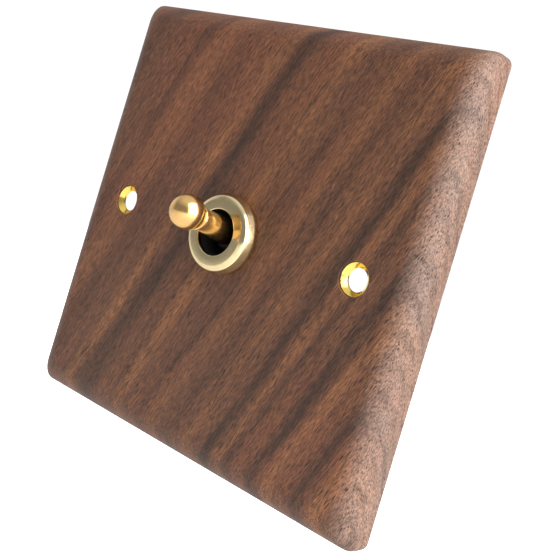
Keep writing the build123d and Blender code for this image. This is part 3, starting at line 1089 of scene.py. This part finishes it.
# ---------------------------------------------------------------- the front
@dataclass
class FacePlate:
    """The walnut plate with its round-over, rear recess and three holes."""

    edge_round: float = 5.6 * MM
    corner_round: float = 1.8 * MM
    corner_growth: float = 0.5
    rim: float = 3.5 * MM
    front_wall: float = 2.3 * MM
    recess_corner: float = 4.0 * MM
    recess_fillet: float = 1.0 * MM
    back_break: float = 0.25 * MM
    hole_break: float = 0.12 * MM
    bush_hole: float = 6.2 * MM
    cup_hole: float = 3.05 * MM
    round_steps: int = 14
    fillet_steps: int = 4
    low: Vector = field(default_factory=lambda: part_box("face_plate")[0])
    high: Vector = field(default_factory=lambda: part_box("face_plate")[1])

    def shell_loop(self, bm: BMesh, inset: float, y: float) -> Loop:
        """Adds one outline of the plate.

        Args:
            bm: The mesh.
            inset: How far inside the widest outline it lies.
            y: Place into the wall.

        Returns:
            The loop's edges.
        """
        half = (self.high.x - inset, self.high.z - inset)
        return outline_loop(bm, half, self.corner_round + self.corner_growth * inset, y)

    def holes(self) -> list[tuple[float, tuple[float, float]]]:
        """Finds the holes through the plate.

        Returns:
            The radius and the place of each.
        """
        found = [(self.bush_hole, (0.0, 0.0))]
        for name in ("screw_cup_left", "screw_cup_right"):
            centre = sum(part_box(name), Vector()) / 2
            found.append((self.cup_hole, (centre.x, centre.z)))
        return found

    def outside(self, bm: BMesh) -> list[Loop]:
        """Adds the side wall and the round-over.

        Args:
            bm: The mesh.

        Returns:
            The outlines from the back to the front.
        """
        front, back = self.low.y, self.high.y
        loops = [
            self.shell_loop(bm, self.back_break, back),
            self.shell_loop(bm, 0.0, back - self.back_break),
        ]
        for inset, drop in quarter_round(self.edge_round, self.round_steps):
            loops.append(self.shell_loop(bm, inset, front + drop))
        bridge(bm, loops)
        return loops

    def recess(self, bm: BMesh, floor: float) -> list[Loop]:
        """Adds the walls of the rear recess and the fillet at their foot.

        Args:
            bm: The mesh.
            floor: Place of the recess's floor.

        Returns:
            The outlines from the back to the floor.
        """
        half = Vector((self.high.x - self.rim, self.high.z - self.rim))
        loops = [outline_loop(bm, tuple(half), self.recess_corner, self.high.y)]
        for inset, drop in quarter_round(self.recess_fillet, self.fillet_steps):
            inner = (half.x - inset, half.y - inset)
            loops.append(outline_loop(bm, inner, self.recess_corner - inset, floor + drop))
        bridge(bm, loops)
        return loops

    def build(self, finishes: Finishes) -> None:
        """Builds and dresses the plate.

        Args:
            finishes: The materials.
        """
        bm = bmesh.new()
        front, floor = self.low.y, self.low.y + self.front_wall
        outside, inside = self.outside(bm), self.recess(bm, floor)
        front_edges, floor_edges = list(outside[-1]), list(inside[-1])
        for radius, (x, z) in self.holes():
            mouth = circle_loop(bm, radius + self.hole_break, (x, front, z))
            throat = circle_loop(bm, radius, (x, front + self.hole_break, z))
            rear = circle_loop(bm, radius, (x, floor, z))
            bridge(bm, [mouth, throat, rear])
            front_edges += mouth
            floor_edges += rear
        # Filled in millimetres, where the edges are long enough for the fill.
        bmesh.ops.scale(bm, vec=Vector((1, 1, 1)) / MM, verts=bm.verts)
        for edges in (front_edges, floor_edges, [*outside[0], *inside[0]]):
            bmesh.ops.triangle_fill(bm, use_beauty=True, use_dissolve=False, edges=edges)
        bmesh.ops.scale(bm, vec=Vector((1, 1, 1)) * MM, verts=bm.verts)
        add_piece("walnut_plate", "face_plate", "switch_body", bm, finishes)


@dataclass
class ScrewCup:
    """A turned brass cup in a fixing hole."""

    side: str
    lip: float = 0.12 * MM
    cone_depth: float = 0.8 * MM
    throat: float = 2.1 * MM
    throat_length: float = 0.5 * MM
    barrel: float = 3.02 * MM
    flange_thickness: float = 0.8 * MM
    rear_mouth: float = 4.1 * MM
    front_round: float = 0.04 * MM
    flange_round: float = 0.1 * MM
    mouth_round: float = 0.05 * MM
    throat_round: float = 0.1 * MM
    round_steps: int = 4

    def build(self, finishes: Finishes) -> None:
        """Builds and dresses the cup.

        Args:
            finishes: The materials.
        """
        node = f"screw_cup_{self.side}"
        low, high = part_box(node)
        length, flange = high.y - low.y, (high.x - low.x) / 2
        flange_front = self.flange_thickness - length
        corners = [
            (self.throat, -self.cone_depth, 0),
            (self.barrel - self.lip, 0, self.front_round),
            (self.barrel, 0, self.front_round),
            (self.barrel, flange_front, 0),
            (flange, flange_front, self.flange_round),
            (flange, -length, self.flange_round),
            (self.rear_mouth, -length, self.mouth_round),
            (self.throat, -self.cone_depth - self.throat_length, self.throat_round),
            (self.throat, -self.cone_depth, 0),
        ]
        bm = bmesh.new()
        lathe(bm, rounded_corners(corners, self.round_steps))
        centre = (low + high) / 2
        bmesh.ops.transform(bm, matrix=towards_room(centre.x, low.y, centre.z), verts=bm.verts)
        add_piece(f"brass_cup_{self.side}", node, "switch_body", bm, finishes)


@dataclass
class Collar:
    """The ring nut round the lever, with a shallow rim, a round side and a drawn-in foot."""

    bore: float = 4.4 * MM
    thread: float = 6.03 * MM
    lip: float = 1.0 * MM
    rim: float = 1.6 * MM
    rim_drop: float = 0.30 * MM
    taper: float = 0.75 * MM
    shoulder: float = 1.1 * MM
    waist: float = 1.3 * MM
    waist_round: float = 0.9 * MM
    foot: float = 0.3 * MM
    foot_set: float = 0.4 * MM
    rim_round: float = 0.2 * MM
    mouth_break: float = 0.18 * MM
    steps: int = 144

    def build(self, finishes: Finishes) -> None:
        """Builds and dresses the collar.

        Args:
            finishes: The materials.
        """
        low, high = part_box("collar_ring")
        height, outer = high.y - low.y, high.x
        corners = [
            (self.thread, 0, 0),
            (self.thread, height - self.lip, 0),
            (self.bore, height - self.lip, 0),
            (self.bore, height, self.mouth_break),
            (outer - self.rim, height, self.rim_round),
            (outer - self.taper, height - self.rim_drop, self.shoulder),
            (outer, self.waist, self.waist_round),
            (outer - self.foot_set, 0, self.foot),
            (self.thread, 0, 0),
        ]
        bm = bmesh.new()
        lathe(bm, rounded_corners(corners), self.steps)
        bmesh.ops.transform(bm, matrix=towards_room(0, high.y, 0), verts=bm.verts)
        add_piece("brass_collar", "collar_ring", "switch_body", bm, finishes)


@dataclass
class ToggleLever:
    """The ball-ended lever, turned in one piece."""

    tilt: float = 9.0
    ball: float = 3.3 * MM
    ball_reach: float = 15.1 * MM
    bead: float = 2.45 * MM
    bead_thickness: float = 0.6 * MM
    bead_overlap: float = 0.7 * MM
    neck: float = 1.9 * MM
    neck_length: float = 0.3 * MM
    stem_top: float = 2.05 * MM
    stem_root: float = 2.6 * MM
    seat_reach: float = 2.9 * MM
    stem_round: float = 0.1 * MM
    neck_taper: float = 0.12 * MM
    neck_round: float = 0.05 * MM
    bead_round: float = 0.28 * MM
    valley: float = 0.15 * MM
    round_steps: int = 6
    ball_steps: int = 28

    def outline(self) -> list[tuple[float, float]]:
        """Draws the lever from its seat to the top of the ball.

        Returns:
            The outline's points, as (radius, reach).
        """
        bead_front = self.ball_reach - self.ball + self.bead_overlap
        bead_rear = bead_front - self.bead_thickness
        neck_rear = bead_rear - self.neck_length
        meet = math.asin((self.ball - self.bead_overlap - self.valley) / self.ball)
        root = self.ball * math.cos(meet)
        corners = [
            (0.0, self.seat_reach, 0),
            (self.stem_root, self.seat_reach, self.stem_round),
            (self.stem_top, neck_rear, self.stem_round),
            (self.neck, neck_rear + self.neck_taper, self.neck_round),
            (self.neck, bead_rear, self.neck_round),
            (self.bead, bead_rear, self.bead_round),
            (self.bead, bead_front, self.bead_round),
            (root, bead_front, 0.0),
            (root, self.ball_reach - self.ball * math.sin(meet), 0),
        ]
        points = rounded_corners(corners, self.round_steps)
        for step in range(1, self.ball_steps + 1):
            angle = -meet + (math.pi / 2 + meet) * step / self.ball_steps
            height = self.ball_reach + self.ball * math.sin(angle)
            points.append((self.ball * math.cos(angle), height))
        return points

    def build(self, finishes: Finishes) -> None:
        """Builds and dresses the lever.

        Args:
            finishes: The materials.
        """
        pivot = find_joint("lever_tilt")["pos_m"]
        bm = bmesh.new()
        lathe(bm, self.outline())
        bmesh.ops.transform(bm, matrix=towards_room(*pivot, tilt=self.tilt), verts=bm.verts)
        add_piece("ball_lever", "toggle_lever", "lever", bm, finishes, look=finishes.warm_brass)


# ---------------------------------------------------------------- behind the plate
@dataclass
class SwitchModule:
    """The pieces behind the plate, each with its hard edges broken."""

    edge_breaks: tuple[tuple[str, float], ...] = (
        ("terminal_base", 0.35 * MM),
        ("switch_frame", 0.16 * MM),
        ("backing_plate", 0.18 * MM),
        ("bush_nut", 0.20 * MM),
        ("insulating_card", 0.06 * MM),
        ("common_terminal", 0.12 * MM),
        ("line_one_terminal", 0.12 * MM),
        ("line_two_terminal", 0.12 * MM),
        ("earth_terminal", 0.25 * MM),
    )
    segments: int = 3
    flat: float = 1.0
    sharp: float = 28.0
    break_over: float = 40.0

    def soften(self, node: str, width: float, finishes: Finishes) -> None:
        """Makes a copy of a CAD piece with its edges rounded.

        Args:
            node: The CAD node.
            width: Width of the rounding.
            finishes: The materials.
        """
        bm = cad_copy(node)
        flat = math.radians(self.flat)
        bmesh.ops.dissolve_limit(bm, angle_limit=flat, verts=bm.verts, edges=bm.edges)
        piece = add_piece(f"{node}_soft", node, "switch_body", bm, finishes, sharp=self.sharp)
        rounding = piece.modifiers.new("rounded_edges", "BEVEL")
        rounding.width, rounding.segments = width, self.segments
        rounding.limit_method, rounding.angle_limit = "ANGLE", math.radians(self.break_over)
        rounding.harden_normals = True
        rounding.use_clamp_overlap = True

    def build(self, finishes: Finishes) -> None:
        """Builds and dresses every softened piece.

        Args:
            finishes: The materials.
        """
        for node, width in self.edge_breaks:
            self.soften(node, width, finishes)


@dataclass
class PlungerSpring:
    """The coil in the lever's tail. The real coil shortens as the plunger is pushed in; this one keeps its length.
    """

    node: str = "plunger_spring"
    slide: str = "plunger_slide"

    def build(self, finishes: Finishes) -> None:
        """Builds and dresses the spring, measures its points along the plunger's slide and gives it a mesh of its
        own.

        Args:
            finishes: The materials.
        """
        piece = add_piece("coil_spring", self.node, "lever", cad_copy(self.node), finishes)
        slide = find_joint(self.slide)
        axis = Vector(slide["axis"]).normalized()
        reaches = [axis.dot(vert.co) for vert in piece.data.vertices]
        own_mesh(piece)


# ---------------------------------------------------------------- studio
@dataclass(frozen=True)
class Lamp:
    """A soft rectangular light aimed at the plate.

    Attributes:
        name: The light's name.
        at: Where it stands.
        size: Its width and height.
        power: Its power in watts.
        colour: Its colour.
    """

    name: str
    at: Triple
    size: tuple[float, float]
    power: float
    colour: Colour

    def build(self) -> None:
        """Adds the light."""
        data = bpy.data.lights.new(self.name, "AREA")
        data.shape = "RECTANGLE"
        data.size, data.size_y = self.size
        data.energy, data.color = self.power, self.colour
        lamp = bpy.data.objects.new(self.name, data)
        lamp.location = self.at
        lamp.rotation_euler = (-Vector(self.at)).to_track_quat("-Z", "Y").to_euler()
        bpy.context.collection.objects.link(lamp)


@dataclass
class Studio:
    """Camera, light, pale floor and white surroundings."""

    camera_at: Triple = (0.1159, -0.1358, 0.00927)
    yaw: float = 38.25
    pitch: float = 0.13
    roll: float = 16.78
    lens: float = 58.65
    sensor: float = 36.0
    clip: tuple[float, float] = (0.01, 20.0)
    shift: tuple[float, float] = (-0.0404, -0.1354)
    lamps: tuple[Lamp, ...] = (
        Lamp("right_window", (0.62, -0.10, 0.36), (0.80, 0.95), 14.3, (1.0, 0.97, 0.95)),
    )
    sides: Step = Step(0.72, 0.96, 0.30, 0.85)
    ceiling: Step = Step(0.35, 0.95, 0.0, 0.55)
    backdrop: float = 1.05
    floor_drop: float = 0.06
    floor_half: float = 0.9
    floor_colour: tuple[float, float, float, float] = (0.86, 0.86, 0.85, 1.0)
    floor_rough: float = 0.8
    floor_glow: float = 0.9

    def camera(self) -> None:
        """Makes the camera and sets it as the scene's."""
        data = bpy.data.cameras.new("camera")
        data.lens, data.sensor_width = self.lens, self.sensor
        data.shift_x, data.shift_y = self.shift
        data.clip_start, data.clip_end = self.clip
        camera = bpy.data.objects.new("camera", data)
        turn = Matrix.Rotation(math.radians(self.yaw), 4, "Z")
        turn = turn @ Matrix.Rotation(math.radians(90 + self.pitch), 4, "X")
        turn = turn @ Matrix.Rotation(math.radians(self.roll), 4, "Z")
        camera.matrix_world = Matrix.Translation(self.camera_at) @ turn
        bpy.context.collection.objects.link(camera)
        bpy.context.scene.camera = camera

    def world(self) -> None:
        """White to the camera; to everything else dim in front and bright at the sides and above."""
        world = bpy.data.worlds.new("studio")
        bpy.context.scene.world = world
        world.use_nodes = True
        world.node_tree.nodes.clear()
        graph = Graph(world.node_tree)
        seen = graph.node("LightPath").outputs["Is Camera Ray"]
        direction = graph.node("TexCoord").outputs["Generated"]
        sideways = graph.math("ABSOLUTE", graph.dot(direction, (1.0, 0.0, 0.0)))
        upwards = graph.dot(direction, (0.0, 0.0, 1.0))
        glow = graph.math("ADD", graph.remap(sideways, *self.sides), graph.remap(upwards, *self.ceiling))
        strength = graph.node("Mix", data_type="FLOAT")
        graph.join(seen, strength.inputs["Factor"])
        graph.join(glow, strength.inputs["A"])
        graph.join(self.backdrop, strength.inputs["B"])
        background = graph.node("Background")
        background.inputs["Color"].default_value = (1.0, 1.0, 1.0, 1.0)
        graph.join(strength.outputs[0], background.inputs["Strength"])
        graph.join(background.outputs[0], graph.node("OutputWorld").inputs["Surface"])

    def floor(self) -> None:
        """Adds the pale floor."""
        bm = bmesh.new()
        level = Matrix.Translation((0, 0, cad_box[0].z - self.floor_drop))
        bmesh.ops.create_grid(bm, x_segments=1, y_segments=1, size=self.floor_half, matrix=level)
        mesh = bpy.data.meshes.new("floor")
        bm.to_mesh(mesh)
        bm.free()
        floor = bpy.data.objects.new("floor", mesh)
        bpy.context.collection.objects.link(floor)
        material, graph, shader = new_material("pale_floor")
        shader.inputs["Base Color"].default_value = self.floor_colour
        shader.inputs["Roughness"].default_value = self.floor_rough
        shader.inputs["Emission Color"].default_value = (1.0, 1.0, 1.0, 1.0)
        seen = graph.node("LightPath").outputs["Is Camera Ray"]
        glow = graph.math("MULTIPLY", seen, self.floor_glow)
        graph.join(glow, shader.inputs["Emission Strength"])
        mesh.materials.append(material)

    def build(self) -> None:
        """Sets up the whole studio."""
        bpy.context.scene.view_settings.view_transform = "Standard"
        self.camera()
        self.world()
        self.floor()
        for lamp in self.lamps:
            lamp.build()
        log.info("studio ready")


def main() -> None:
    """Builds the switch's looks in order."""
    logging.basicConfig(level=logging.INFO, format="%(name)s: %(message)s")
    finishes = Finishes()
    finishes.dress_cad()
    FacePlate().build(finishes)
    for side in ("left", "right"):
        ScrewCup(side).build(finishes)
    Collar().build(finishes)
    ToggleLever().build(finishes)
    SwitchModule().build(finishes)
    PlungerSpring().build(finishes)
    Studio().build()


if __name__ == "__main__":
    main()
